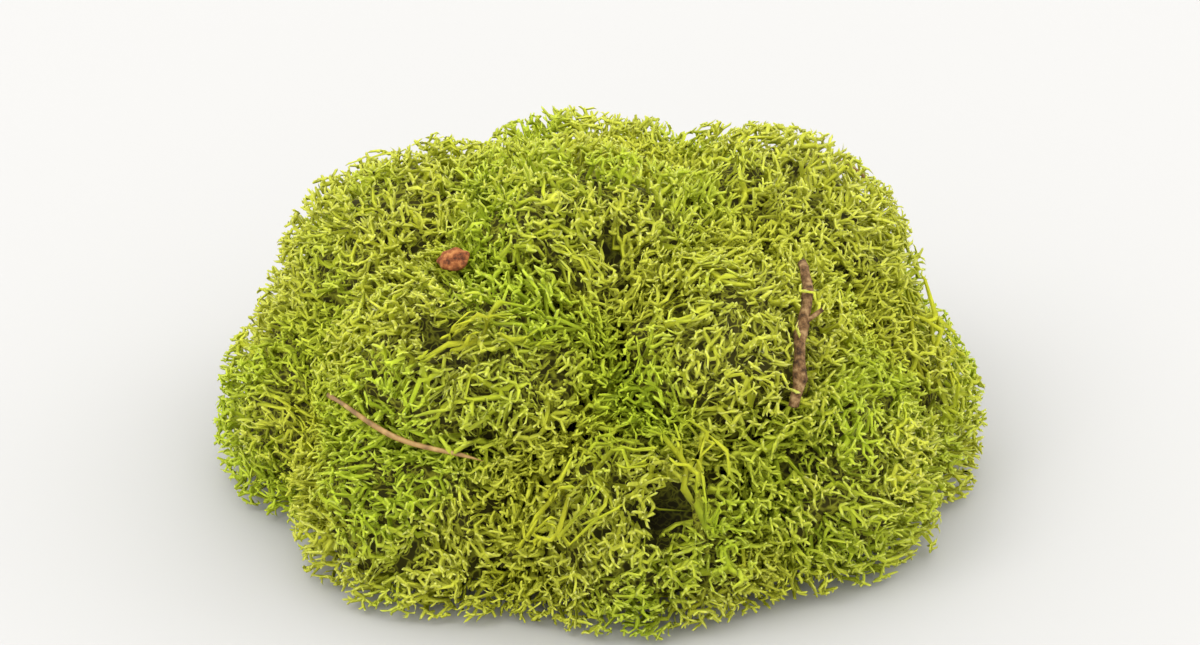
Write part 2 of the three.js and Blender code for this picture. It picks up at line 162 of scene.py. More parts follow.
# The cushion of heads, in millimetres, as in the CAD
MM = 0.001
CUSHION = np.array([57.5, 50.5, 51.0])  # from the heart to the furthest that heads reach
FULLNESS = 2.2  # 2 would make it an ellipsoid, and more brings it nearer to a box
HEART = np.array([0, 0, 3.0])  # the point that all heads grow from
MIDDLE = Vector((-0.7661, -0.0485, 0))  # from the heart's axis to the middle of the clump
MAT = np.array([18, 15.5, 9])  # radii of the old stems' mat
STREAM_FACTOR = 1664525
STREAM_STEP = 1013904223
STREAM_RANGE = 2**32
PLACES_SEED = 7
HEAD_RINGS = [(1, 0.99, 0.6), (5, 0.72, 0.35), (8, 0.2, 0.1)]  # count, height and turn
HEAD_STRAY = 0.1  # how far a head stands off its even place in the ring
HEAD_SIZES = (0.96, 1.03)  # the least and the greatest, as shares of the cushion
HEAD_SLOPE = 1.3  # how steeply a head falls away round its middle
STEM_FOOT = 0.7  # how far out in the mat a head's stem begins, as a share of the mat

# How the whole clump is swayed, as nothing in it is quite straight
SWAYS = [(1.4, 13), (0.9, 5)]  # how far, and over what length
STIFF_SWAYS = SWAYS[:1]  # for what is too stiff for the short one
SWAY_FLOOR = 8  # the height from which it sways freely up and down
SWAY_SEED = 7
noise.seed_set(SWAY_SEED)  # without it noise_vector differs from run to run

# The twig, in millimetres
ROD_STEPS = 18
TWIG_PLACES = ((305, 0.55, 0.94), (332, 0.8, 0.96))  # turn, height and share of the way out
TWIG_BEND = (1.9, -1.4, 2.4)
TWIG_RADII = (0.75, 0.9, 0.65)  # at its start, middle and end
TWIG_KINKS = 0.55  # how far it strays from its bend, as its buds turned it
TWIG_KINK_SIZE = 3.5
TWIG_SIDES = 14
TWIG_ROUGHNESS = 0.3  # the height of its lumps, as a share of the radius
TWIG_LUMP_SIZE = 0.9
SPLINTER_SIZE = TWIG_LUMP_SIZE / 2
TWIG_KNOTS = [0.18, 0.47, 0.74]  # where they are, as shares of its length
KNOT_SWELL = 0.35
KNOT_LENGTH = 0.035
STUB_PLACE = 9  # the step of the twig that its broken side shoot stands on
STUB_LENGTH = 3.2
STUB_RADII = (0.5, 0.4, 0.34)
STUB_STEPS = 6
BROKEN = 0.9  # how far a break's splinters stand out, as a share of the radius
BARK_SKIN = {"Scale": 900, "Detail": 4, "Roughness": 0.65, "Strength": 0.8, "Distance": 0.0003}
BARK_LEVELS = (0.34, 0.5, 0.68)  # how high on a bark's skin each of its three tones lies

# A head's direction as if the cushion were a ball, its size, and the way, foot and reach of its
# middle stem
Place = namedtuple("Place", "direction size axis foot reach")


def number_stream(seed):
    """Repeatable numbers from 0 to 1, the same as those that place the CAD heads."""
    state = seed
    while True:
        state = (state * STREAM_FACTOR + STREAM_STEP) % STREAM_RANGE
        yield state / STREAM_RANGE


def direction_of(turn, height):
    """The direction with that turn from +X and that height, from 0 level to 1 upright."""
    flat = math.sqrt(1 - height**2)
    return np.array([flat * math.cos(turn), flat * math.sin(turn), height])


def skin_point(direction, size):
    """Where the cushion's skin is, in a direction given as if the cushion were a ball."""
    return direction * CUSHION * size / (np.abs(direction) ** FULLNESS).sum() ** (1 / FULLNESS)


def mat_skin(direction):
    """How far the skin of the old stems' mat is from the heart in a direction."""
    return 1 / np.linalg.norm(direction / MAT)


def head_places():
    """Where each head stands, in the rings that the CAD heads stand in."""
    numbers = number_stream(PLACES_SEED)
    places = []
    for count, height, ring_turn in HEAD_RINGS:
        for i in range(count):
            stray_height = 2 * next(numbers) - 1
            stray = direction_of(2 * math.pi * next(numbers), stray_height)
            direction = direction_of(2 * math.pi * (i + ring_turn) / count, height)
            direction += HEAD_STRAY * stray
            direction /= np.linalg.norm(direction)
            size = HEAD_SIZES[0] + (HEAD_SIZES[1] - HEAD_SIZES[0]) * next(numbers)
            top = skin_point(direction, size)
            reach = np.linalg.norm(top)
            axis = top / reach
            foot = HEART + axis * STEM_FOOT * mat_skin(axis)
            places.append(Place(direction, size, axis, foot, reach))
    return places


def skin_reach(place, points):
    """How far a head's skin is from the heart, on the way to each point."""
    directions = (points - HEART) / CUSHION
    directions /= np.linalg.norm(directions, axis=1)[:, None]
    fall = HEAD_SLOPE * (1 - directions @ place.direction)
    full = (np.abs(directions) ** FULLNESS).sum(1) ** (1 / FULLNESS)
    return np.linalg.norm(directions * CUSHION, axis=1) * place.size / full * (1 - fall)


def head_at(way):
    """The head that is that way from the heart."""
    direction = way / CUSHION
    return max(places, key=lambda place: direction @ place.direction)


def at_skin(way, share):
    """The place that way from the heart, at that share of the way out to the skin."""
    way = way / np.linalg.norm(way)
    return Vector(HEART + way * share * skin_reach(head_at(way), (HEART + way)[None])[0])


def cushion_place(turn, height, share):
    """The place on the cushion with that turn and height, at that share of the way out."""
    return at_skin(direction_of(math.radians(turn), height) * CUSHION, share)


def rod_line(ends, bend):
    """The points of a bent rod's line between two places."""
    start, end = (cushion_place(*place) for place in ends)
    middle = (start + end) / 2 + Vector(bend)
    control = 2 * middle - (start + end) / 2
    shares = [step / ROD_STEPS for step in range(ROD_STEPS + 1)]
    return [start * (1 - s) ** 2 + control * 2 * s * (1 - s) + end * s**2 for s in shares]


def rod_radius(radii, share):
    """The radius at a share of a rod's length, from those at its start, middle and end."""
    first, middle, last = radii
    if share < 0.5:
        return first + (middle - first) * share * 2
    return middle + (last - middle) * (share * 2 - 1)


def add_rod(bm, line, radius_at, sides, roughness=0.0, flatness=1.0, broken=0.0):
    """A rod of rings along a line, with an uneven skin and closed or broken ends."""
    out = (line[len(line) // 2] - Vector(HEART)).normalized()
    first_way = (line[1] - line[0]).normalized()

    def on_ring(step, side):
        way = (line[min(step + 1, len(line) - 1)] - line[max(step - 1, 0)]).normalized()
        side = first_way.rotation_difference(way) @ side
        side = side - out * side.dot(out) * (1 - flatness)
        radius = radius_at(step / (len(line) - 1))
        spot = line[step] + side * radius
        if step in (0, len(line) - 1):
            spot += way * radius * broken * noise.noise(spot / SPLINTER_SIZE)
        return spot + side * radius * roughness * noise.noise(spot / TWIG_LUMP_SIZE)

    lie = Matrix.Translation(line[0]) @ first_way.to_track_quat("Z", "Y").to_matrix().to_4x4()
    made = bmesh.ops.create_cone(
        bm, cap_ends=True, segments=sides, radius1=1, radius2=1, depth=1, matrix=lie
    )["verts"]
    caps = {face for vert in made for face in vert.link_faces if len(face.verts) == sides}
    end = max(caps, key=lambda face: face.calc_center_median().dot(first_way))
    end_sides = [(vert.co - line[0]) for vert in end.verts]
    end_sides = [(side - first_way * side.dot(first_way)).normalized() for side in end_sides]
    for vert in made:
        offset = vert.co - line[0]
        rise = offset.dot(first_way)
        vert.co = on_ring(0 if rise < 0 else 1, (offset - first_way * rise).normalized())
    for step in range(2, len(line)):
        end = bmesh.ops.extrude_discrete_faces(bm, faces=[end])["faces"][0]
        for vert, side in zip(end.verts, end_sides):
            vert.co = on_ring(step, side)


def sway_and_place(bm, sways=SWAYS):
    """Sways a piece with all its neighbours and puts it where it is in the clump."""
    for vert in bm.verts:
        sway = Vector((0, 0, 0))
        for far, length in sways:
            sway += noise.noise_vector(vert.co / length) * far
        sway.z *= min(1, max(0, vert.co.z) / SWAY_FLOOR)
        vert.co = (vert.co + sway + MIDDLE) * MM
    for face in bm.faces:
        face.smooth = True


def add_node(tree, kind, inputs=None, **settings):
    """A shader node with its settings, and its sockets set or linked."""
    node = tree.nodes.new(kind)
    for name, value in settings.items():
        setattr(node, name, value)
    for socket, value in (inputs or {}).items():
        if isinstance(value, bpy.types.NodeSocket):
            tree.links.new(value, node.inputs[socket])
        else:
            node.inputs[socket].default_value = value
    return node


def add_ramp(tree, factor, stops):
    """A colour ramp with the given places and colours."""
    ramp = add_node(tree, "ShaderNodeValToRGB", {"Fac": factor})
    elements = ramp.color_ramp.elements
    elements[0].position, elements[0].color = stops[0]
    elements[1].position, elements[1].color = stops[-1]
    for place, tone in stops[1:-1]:
        elements.new(place).color = tone
    return ramp.outputs["Color"]


def add_noise(tree, spot, scale, detail=2.0, roughness=0.5):
    """A noise pattern, with its scale in lumps a metre."""
    inputs = {"Vector": spot, "Scale": scale, "Detail": detail, "Roughness": roughness}
    return add_node(tree, "ShaderNodeTexNoise", inputs).outputs["Fac"]


def new_group(name, inputs, outputs):
    """A node group with named sockets, the sockets that bring its values and those to fill."""
    group = bpy.data.node_groups.new(name, "ShaderNodeTree")
    for side, sockets in (("INPUT", inputs), ("OUTPUT", outputs)):
        for socket, kind in sockets.items():
            group.interface.new_socket(socket, in_out=side, socket_type=f"NodeSocket{kind}")
    given = group.nodes.new("NodeGroupInput").outputs
    made = group.nodes.new("NodeGroupOutput").inputs
    return group, given, made


def add_group(tree, group, **inputs):
    """A node group placed in a material with the material's own values, and what it puts out."""
    return add_node(tree, "ShaderNodeGroup", inputs, node_tree=group).outputs


def new_rough_skin():
    """The fine lumps of a dry skin: how high each spot lies, and the normal bent by that."""
    values = dict.fromkeys(("Scale", "Detail", "Roughness", "Strength", "Distance"), "Float")
    outputs = {"Height": "Float", "Normal": "Vector"}
    group, given, made = new_group("rough_skin", {"Vector": "Vector", **values}, outputs)
    height = add_noise(group, given["Vector"], given["Scale"], given["Detail"], given["Roughness"])
    relief = {"Height": height, "Strength": given["Strength"], "Distance": given["Distance"]}
    bump = add_node(group, "ShaderNodeBump", relief)
    group.links.new(height, made["Height"])
    group.links.new(bump.outputs["Normal"], made["Normal"])
    return group


def new_bark(name, *tones):
    """A rough bark in three tones, from the bottom of its cracks to its worn ridges."""
    bark, tree, shader = new_material(name, Roughness=0.85, Specular_IOR_Level=0.2)
    spot = add_node(tree, "ShaderNodeTexCoord").outputs["Object"]
    skin = add_group(tree, rough_skin, Vector=spot, **BARK_SKIN)
    stops = [(level, colour(*tone)) for level, tone in zip(BARK_LEVELS, tones)]
    tree.links.new(add_ramp(tree, skin["Height"], stops), shader.inputs["Base Color"])
    tree.links.new(skin["Normal"], shader.inputs["Normal"])
    return bark


def twig_radius(share):
    """The twig's radius, with a swelling at each knot."""
    swells = [math.exp(-(((share - knot) / KNOT_LENGTH) ** 2)) for knot in TWIG_KNOTS]
    return rod_radius(TWIG_RADII, share) * (1 + KNOT_SWELL * max(swells))


def stub_radius(share):
    """The radius of the twig's broken side shoot."""
    return rod_radius(STUB_RADII, share)


places = head_places()
rough_skin = new_rough_skin()
twig_line = rod_line(TWIG_PLACES, TWIG_BEND)
for spot in twig_line:
    spot += noise.noise_vector(spot / TWIG_KINK_SIZE) * TWIG_KINKS
stub_root = twig_line[STUB_PLACE]
along = (twig_line[STUB_PLACE + 1] - stub_root).normalized()
across = along.cross(stub_root - Vector(HEART)).normalized()
stub_way = (along + across + (stub_root - Vector(HEART)).normalized()).normalized()
stub = [stub_root + stub_way * STUB_LENGTH * step / STUB_STEPS for step in range(STUB_STEPS + 1)]

bm = bmesh.new()
for line, radius_at in ((twig_line, twig_radius), (stub, stub_radius)):
    add_rod(bm, line, radius_at, TWIG_SIDES, TWIG_ROUGHNESS, broken=BROKEN)
sway_and_place(bm, STIFF_SWAYS)
twig_bark = new_bark("twig_bark", (56, 40, 26), (114, 84, 52), (164, 134, 92))
twig = new_piece("dry_twig", bm, twig_bark)
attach(twig, "root")
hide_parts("twig")

# Lines of what lies between the heads, with their radii, which the branchlets bend round
litter = [(twig_line, max(TWIG_RADII))]


# ---------------------------------------------------------------------------------------------
# The scrap of bark
# A thick flake of reddish bark from an old pine, worn round at its corners. It lies loose in a
# hollow between the heads.
# ---------------------------------------------------------------------------------------------

BARK_SIZE = Vector((5, 3.4, 1.8))
BARK_PLACE = (225, 0.86, 0.97)
BARK_DETAIL = 5
BARK_LUMPS = 0.3
BARK_LUMP_SIZE = 1.3

bm = bmesh.new()
out = cushion_place(*BARK_PLACE)
lie = Vector((0, 0, 1)).rotation_difference(out - Vector(HEART))
for vert in bmesh.ops.create_icosphere(bm, subdivisions=BARK_DETAIL, radius=1)["verts"]:
    spot = Vector(a * b / 2 for a, b in zip(vert.co, BARK_SIZE))
    vert.co = out + lie @ spot * (1 + BARK_LUMPS * noise.noise(spot / BARK_LUMP_SIZE))
sway_and_place(bm, STIFF_SWAYS)
pine_bark = new_bark("pine_bark", (66, 36, 22), (134, 76, 40), (182, 122, 70))
scrap = new_piece("flake_of_bark", bm, pine_bark)
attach(scrap, "root")
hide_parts("bark_scrap")

spine = lie @ Vector(((BARK_SIZE.x - BARK_SIZE.y) / 2, 0, 0))
litter.append(([out - spine, out, out + spine], BARK_SIZE.y / 2))


# ---------------------------------------------------------------------------------------------
# The pine needles
# Two dead pine needles, stiff, glossy and half round, with a swollen sheath at the foot and a
# sharp tip. They have slid in between the branchlets and lie there loose.
# ---------------------------------------------------------------------------------------------

NEEDLES = [
    # its ends, as for the twig, and its bend
    (((216, 0.5, 0.95), (251, 0.46, 0.95)), (-2.6, -3.6, 2)),
    (((25, 0.7, 0.96), (70, 0.6, 0.95)), (1.6, 2.2, 1.5)),
]
NEEDLE_RADII = (0.3, 0.42, 0.22)
NEEDLE_SIDES = 8
NEEDLE_FLATNESS = 0.6
SHEATH_END = 0.1  # a share of its length
SHEATH_SWELL = 1.35
POINT_START = 0.9  # a share of its length
POINT_END = 0.05  # the least that its point narrows to, as a share of its radius
NEEDLE_SKIN = {"Scale": 700, "Detail": 2, "Roughness": 0.5, "Strength": 0.3, "Distance": 0.0001}

straw, tree, shader = new_material("dry_needle", Roughness=0.45)
spot = add_node(tree, "ShaderNodeTexCoord").outputs["Object"]
skin = add_group(tree, rough_skin, Vector=spot, **NEEDLE_SKIN)
tones = [(0.3, colour(112, 82, 44)), (0.55, colour(158, 122, 66)), (0.8, colour(186, 152, 92))]
tree.links.new(add_ramp(tree, skin["Height"], tones), shader.inputs["Base Color"])
tree.links.new(skin["Normal"], shader.inputs["Normal"])


def needle_radius(share):
    """A needle's radius, with the sheath at its foot and its sharp end."""
    radius = rod_radius(NEEDLE_RADII, share)
    if share < SHEATH_END:
        radius *= SHEATH_SWELL
    if share > POINT_START:
        radius *= max(POINT_END, (1 - share) / (1 - POINT_START))
    return radius


for i, (ends, bend) in enumerate(NEEDLES):
    bm = bmesh.new()
    line = rod_line(ends, bend)
    add_rod(bm, line, needle_radius, NEEDLE_SIDES, flatness=NEEDLE_FLATNESS)
    sway_and_place(bm, STIFF_SWAYS)
    needle = new_piece(f"dead_needle_{i + 1}", bm, straw)
    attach(needle, "root")
    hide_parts(f"pine_needle_{i + 1}")
    litter.append((line, max(NEEDLE_RADII)))


# ---------------------------------------------------------------------------------------------
# The lichen heads
# Each head is one lichen: a crown of thin, soft, hollow branchlets that fork in three, over and
# over, on a bundle of stems. They are preserved, dyed yellow-green, and hold by their stems.
# ---------------------------------------------------------------------------------------------

# Where a head's tips end, in millimetres
FOCUS = 0.6  # where the middle of its crown is, as a share of its reach from the heart
TIP_SPACING = 0.93
TIP_SHELLS = [
    # how deep its tips lie, as shares of the way from that middle, and how much further apart
    ((0, 0.24), 1),
    ((0.2, 0.28), 1.8),
]
TIP_RISE = 1.5  # more than 1 brings more of a shell's tips near its top
TIP_CANDIDATES = 60000  # the places of which the evenly spread ones are taken
LAYERING = 0.4  # how much of the difference in their depths sets two tips apart
THICKETS = 0.5  # how unevenly the tips are spread, and over what length
THICKET_SIZE = 2.5
SKIN_ROUNDS = 14  # of halving a way out, to find where it meets the head's skin
LOWEST_TIP = 0.86  # how deep in a valley tips grow, as a share of the skin's height over the heart
LOWEST_DEAD_TIP = 0.45  # and on the underside
LITTER_ROOM = 0.9  # how far beside a piece of litter the tips over it end

# A head's room between its neighbours
INTERLOCK = 1.5  # how far the branchlets of two heads reach in among each other
FLOOR_CLEARANCE = 0.8  # between a head and the floor
GAP = 0.3  # between a single branch and the floor, and round a piece of litter
FLOOR_WALL = [(Vector((0, 0, 1)), -GAP)]
ROOM_ROUNDS = 12  # how often all its walls are gone through, at most, to move a point inside
ROOM_MARGIN = 0.01  # how far inside a wall the point is then
LITTER_PUSH = 4  # how far litter pushes branchlets aside, in its radii

# How a limb forks, over and over, until it has its tips
SPLAY = (0.25, 0.6)  # how far under its tips it forks, as a share of their spread
LIMB_LENGTH = 0.1  # and how much further, times the square of the forks still above it
DEEPEST_FORK = 0.8  # as a share of the way down from its tips to the foot
FORK_STRAY = 0.35  # as a share of the spread of its tips
LEAST_RISE = 0.8  # of a fork over the last one, in its radii
FORK_RISE = 0.25  # of a fork's middle over its ring, in its radii
BEND = 0.35  # how far a limb goes straight on before it bends to its end
BRANCHLET_RADIUS = 0.3  # of a limb with three tips
THICKENING = 0.16  # the power with which its radius grows with its tips
TIP_RADIUS = 0.19
TIP_BLUNTNESS = 0.78  # how far along a tip its last ring is
TIP_AGE = 0.08  # how much older that ring is than the very end
TUFT_TIPS = 160  # the most tips that stand in one round tuft
TUFT_SQUEEZE = 0.04  # how far those at its edge are drawn in
TUFT_FALL = 0.45  # and down

# The stems, the dead inside, and the shade painted deep inside
TRUNK_RADIUS = 1.2
SIDE_STEMS = 2
SIDE_STEM_RADIUS = 0.6
SIDE_STEM_SPREAD = 3.4  # how far from the middle stem they stand
SIDE_STEM_TIPS = 9
SIDE_STEM_YOUNGEST = 0.5  # the age of their tips
CORE_SHARE = 0.74  # of the way from the middle of the crown to the skin
CORE_DETAIL = 3
CORE_LUMPS = 0.2
CORE_LUMP_SIZE = 3.0
# Painted shade: more age towards the heart, where little light comes
DEPTH_SHADE = (2.75, 3.0)  # the age at the heart, cut off at 1, and how much less it is at the skin

# The dark hollows that the branchlets leave
HOLLOWS = 20
HOLLOWS_SEED = 5
HOLLOW_HEIGHTS = (0.1, 1)
HOLLOW_SIZES = (1.4, 3.2)
LARGE_HOLLOWS = [
    # place, as for the twig, and radius
    ((284, 0.34, 1), 4.6),
    ((336, 0.18, 1), 3.8),
    ((345, 0.66, 1), 3.2),
    ((60, 0.96, 1), 3.6),
    ((280, 0.93, 1), 3),
    ((240, 0.72, 1), 3.4),
]
HOLLOW_DEPTH = 3  # how far the dead inside gives way round a hollow, in its radii

# The older branches that lie bare over the heads
BARE_BRANCHES = [
    # where it starts and where it ends, as for the twig, and how wide it fans out
    ((254, 0.16, 0.93), (279, 0.54, 1.03), 7),
    ((288, 0.2, 0.93), (284, 0.62, 1.03), 5),
    ((236, 0.62, 0.92), (262, 0.8, 1.0), 5),
    ((340, 0.15, 0.9), (5, 0.55, 0.98), 5),
    ((72, 0.62, 0.9), (96, 0.36, 0.95), 4),
    ((140, 0.35, 0.9), (120, 0.75, 0.98), 5),
]
BARE_TIPS = 36
BARE_START = 0.15  # how far along it has its first tip
BARE_UNEVENNESS = (0.98, 1.02)  # of how far out its tips end
BARE_GIRTH = 1.25  # how much thicker it is than the branchlets
BARE_YOUNGEST = 0.65  # the age of its tips

HEADS_SEED = 100  # of the first head, with one more for each head after it

# The colours, which follow the age of each spot, from 0 at a young tip to 1 deep inside, with
# shade painted as more age deep inside and in the valleys
PATCH_SCALE = 45
GREEN_PATCHES = (0.48, 0.66)  # from where to where in the noise of the patches it turns green
FLECK_LEVELS = (0.72, 1.12)  # how dark and how light flecks make a colour
LICHEN_FLECKS = {"Scale": 500, "Detail": 2, "Low": 0.25, "High": 0.75}
LICHEN_SKIN = {"Scale": 4000, "Detail": 2, "Roughness": 0.5, "Strength": 0.4, "Distance": 0.0001}
# Past these ages the dead inside shows, its dark colour partly painted shade
DEAD_AND_SHADE_AGES = (0.97, 0.99)  # from where to where the live skin goes over into the dead inside
STRAND_SCALES = (460, 760)  # of the two layers of strands that the dead inside shows
# Shade painted in the hollows: the dead inside goes darker towards their bottoms
HOLLOW_SHADE_AGES = (1.1, 1.5)  # from where to where it darkens in a hollow
HOLLOW_SHADE_SHARE = 0.85  # how much of the deep brown there is at the bottom
HOLLOW_SHADE_BROWN = (26, 20, 8)


def even_directions(count):
    """Directions that are spread evenly all round."""
    i = np.arange(count)
    z = 1 - (2 * i + 1) / count
    turn = i * math.pi * (3 - math.sqrt(5))
    flat = np.sqrt(1 - z * z)
    return np.stack([flat * np.cos(turn), flat * np.sin(turn), z], axis=1)


def room_of(i):
    """The walls of a head's room, each as a normal that points into the room and a constant."""
    walls = []
    for k, other in enumerate(places):
        if k != i:
            normal = (places[i].direction - other.direction) / CUSHION
            normal /= np.linalg.norm(normal)
            walls.append((Vector(normal), -normal @ HEART + INTERLOCK))
    walls.append((Vector((0, 0, 1)), -FLOOR_CLEARANCE))
    return walls


def evenly_spread(points, spacing):
    """Which points to pick, each as far as possible from those before it, in thick and thin."""
    thickness = [1 + THICKETS * noise.noise(Vector(point) / THICKET_SIZE) for point in points]
    thickness = np.array(thickness) ** 2
    chosen = []
    distances = np.full(len(points), np.inf)
    best = 0
    while distances[best] > spacing**2:
        chosen.append(best)
        offset = points - points[best]
        distances = np.minimum(distances, np.einsum("ij,ij->i", offset, offset) * thickness)
        best = int(distances.argmax())
    return chosen[: len(chosen) - len(chosen) % 3]


def ways_out(place, walls, rays):
    """The middle of a head's crown, and each ray's way from there to its skin or a wall."""
    focus = HEART + place.axis * place.reach * FOCUS
    near = np.zeros(len(rays))
    far = np.full(len(rays), place.reach)
    for _ in range(SKIN_ROUNDS):
        half = (near + far) / 2
        points = focus + rays * half[:, None]
        inside = np.linalg.norm(points - HEART, axis=1) < skin_reach(place, points)
        near = np.where(inside, half, near)
        far = np.where(inside, far, half)
    for normal, constant in walls:
        slope = rays @ np.array(normal)
        wall = -(focus @ np.array(normal) + constant) / np.where(slope < 0, slope, -1)
        near = np.where(slope < 0, np.minimum(near, wall), near)
    return focus, near[:, None]


def over_litter(points):
    """Whether each point is over a piece of litter, seen from the heart."""
    over = np.zeros(len(points), bool)
    ways = points - HEART
    for line, radius in litter:
        for spot in line:
            spot = np.array(spot) - HEART
            height = np.linalg.norm(spot)
            rise = ways @ spot / height
            beside = np.linalg.norm(ways - rise[:, None] * spot / height, axis=1)
            over |= (beside < radius + LITTER_ROOM) & (rise > height - radius)
    return over


def in_hollow(points):
    """Whether each point is in one of the hollows that the branchlets leave."""
    near = [((points - np.array(middle)) ** 2).sum(1) < radius**2 for middle, radius in hollows]
    return np.any(near, axis=0)


def tip_places(place, walls, draws):
    """Where the tips of a head end, in deep shells under its skin and the valleys round it."""
    rays = even_directions(TIP_CANDIDATES)
    focus, ways = ways_out(place, walls, rays)
    skin = focus + rays * ways
    height = np.linalg.norm(skin - HEART, axis=1) / skin_reach(place, skin)
    under = (skin[:, 2] < 2 * FLOOR_CLEARANCE) & (height > LOWEST_DEAD_TIP)
    shells = []
    for (top, bottom), further in TIP_SHELLS:
        depths = top + (bottom - top) * draws.random((TIP_CANDIDATES, 1)) ** TIP_RISE
        tips = focus + rays * ways * (1 - depths)
        layered = focus + rays * ways * (1 - depths * LAYERING)
        grown = ((height > LOWEST_TIP) | under) & ~over_litter(tips) & ~in_hollow(layered)
        shells.append(tips[grown][evenly_spread(layered[grown], TIP_SPACING * further)])
    return np.concatenate(shells)


def inside_room(walls, point, radius):
    """The point moved the shortest way until a ball of that radius round it is in the room."""
    for _ in range(ROOM_ROUNDS):
        moved = False
        for normal, constant in walls:
            short = radius - constant - normal.dot(point)
            if short > 0:
                point = point + normal * (short + ROOM_MARGIN)
                moved = True
        if not moved:
            break
    return point


def split_tips(tips, end, frame):
    """The tips in three groups round the end of a limb, each with its turn about the limb."""
    first, second = (np.array(axis) for axis in frame)
    offset = tips - tips.mean(0)
    turns = np.arctan2(offset @ second, offset @ first) % (2 * math.pi)
    ring = tips[np.argsort(turns, kind="stable")]
    count = len(ring)
    unit = 3 if count > 3 else 1
    counts = [unit * math.ceil((count / unit - k) / 3) for k in range(3)]
    double = np.concatenate([ring, ring])
    sums = np.concatenate([np.zeros((1, 3)), np.cumsum(double, axis=0)])
    starts = np.arange(count)
    width = np.zeros(count)
    for k in range(3):
        if counts[k]:
            part = sums[starts + counts[k]] - sums[starts]
            width -= (part**2).sum(1) / counts[k]
        starts = starts + counts[k]
    start = int(width.argmin())
    groups = []
    for k in range(3):
        part = double[start : start + counts[k]]
        start += counts[k]
        if len(part):
            offset = part.mean(0) - np.array(end)
            turn = math.atan2(offset @ second, offset @ first) % (2 * math.pi)
            groups.append((turn, part))
    if len(groups) == 2:
        turn = (groups[0][0] + groups[1][0]) / 2 + math.pi
        groups.append((turn % (2 * math.pi), None))
    groups.sort(key=lambda group: group[0])
    while sum(turn for turn, _ in groups) > 4 * math.pi:
        turn, part = groups.pop()
        groups.insert(0, (turn - 2 * math.pi, part))
    while sum(turn for turn, _ in groups) < 2 * math.pi:
        turn, part = groups.pop(0)
        groups.append((turn + 2 * math.pi, part))
    return groups


def domed(tips, foot):
    """The tips of a tuft, with those at its edge drawn in and down so that it is round."""
    middle = tips.mean(0)
    out = (middle - foot) / np.linalg.norm(middle - foot)
    offset = tips - middle
    across = offset - (offset @ out)[:, None] * out
    edge = (across**2).sum(1)
    edge = (edge / edge.mean())[:, None]
    return tips - across * edge * TUFT_SQUEEZE - out * edge * TUFT_FALL


def turned(frame, turn):
    """The direction with that turn from the first of two axes to the second."""
    return frame[0] * math.cos(turn) + frame[1] * math.sin(turn)


def middle_of(corners):
    """The point in the middle of a face or a ring."""
    return sum(corners, Vector((0, 0, 0))) / len(corners)


def facing(corners):
    """The way that a face with three corners looks."""
    return (corners[1] - corners[0]).cross(corners[2] - corners[0]).normalized()


def fork_of(corners, tips, walls, foot, draws, girth):
    """The fork at the end of a limb: its ring, its middle, and what grows from each third of it."""
    start = middle_of(corners)
    radius = BRANCHLET_RADIUS * girth * (len(tips) / 3) ** THICKENING
    forward = facing(corners)
    middle = tips.mean(0)
    spread = math.sqrt(((tips - middle) ** 2).sum(1).mean())
    middle = Vector(middle)
    down = foot - middle
    depth = draws.uniform(*SPLAY) * spread + LIMB_LENGTH * math.log(len(tips), 3) ** 2
    depth = min(depth, DEEPEST_FORK * down.length)
    stray = Vector(draws.normal(size=3)).normalized() * FORK_STRAY * spread
    end = middle + down.normalized() * depth + stray
    end += forward * max(0, LEAST_RISE * radius - (end - start).dot(forward))
    end = inside_room(walls, end, radius)
    heading = (end - start).normalized()
    first = Vector((0, 0, 0))
    for k, corner in enumerate(corners):
        first += Quaternion(heading, -2 * math.pi * k / 3) @ (corner - start)
    first -= heading * first.dot(heading)
    first.normalize()
    frame = (first, heading.cross(first))
    groups = split_tips(tips, end, frame)
    turns = [turn for turn, _ in groups]
    twist = sum(turns) / 3 - math.pi
    sides = []
    for k in range(3):
        last = turns[k - 1] if k else turns[2] - 2 * math.pi
        even = twist + 2 * math.pi * k / 3
        sides.append(turned(frame, ((last + turns[k]) / 2 + even) / 2))
    ring = [end + side * radius for side in sides]
    return ring, end + heading * FORK_RISE * radius, [part for _, part in groups]


def bent_ring(corners, ring, walls, share=0.5):
    """The ring part of the way along a limb that leaves its third straight and bends to its end."""
    start = middle_of(corners)
    end = middle_of(ring)
    radius = (ring[0] - end).length
    bend = (facing(corners) * (end - start).length - (end - start)) * BEND
    centre = start + (end - start) * share + bend * 2 * (1 - share)
    centre = inside_room(walls, centre, radius)
    sides = [(a - start).normalized() + (b - end).normalized() for a, b in zip(corners, ring)]
    return [centre + side.normalized() * radius for side in sides]


def extrude_to(bm, faces, rings):
    """Extrudes numbered faces, each to the ring of its number, which has corners and an age."""
    number = bm.faces.layers.int["number"]
    corner = bm.verts.layers.int["corner"]
    age_and_shade = bm.verts.layers.float["age_and_shade"]
    made = bmesh.ops.extrude_discrete_faces(bm, faces=faces)["faces"]
    for face in made:
        ring, ring_age = rings[face[number]]
        for k, vert in enumerate(face.verts):
            vert.co = ring[k]
            vert[corner] = k
            vert[age_and_shade] = ring_age
    return made


def new_growth():
    """An empty bmesh for growing: each face's number, and each point's age and painted shade."""
    bm = bmesh.new()
    bm.faces.layers.int.new("number")
    bm.verts.layers.int.new("corner")
    bm.verts.layers.float.new("age_and_shade")
    return bm


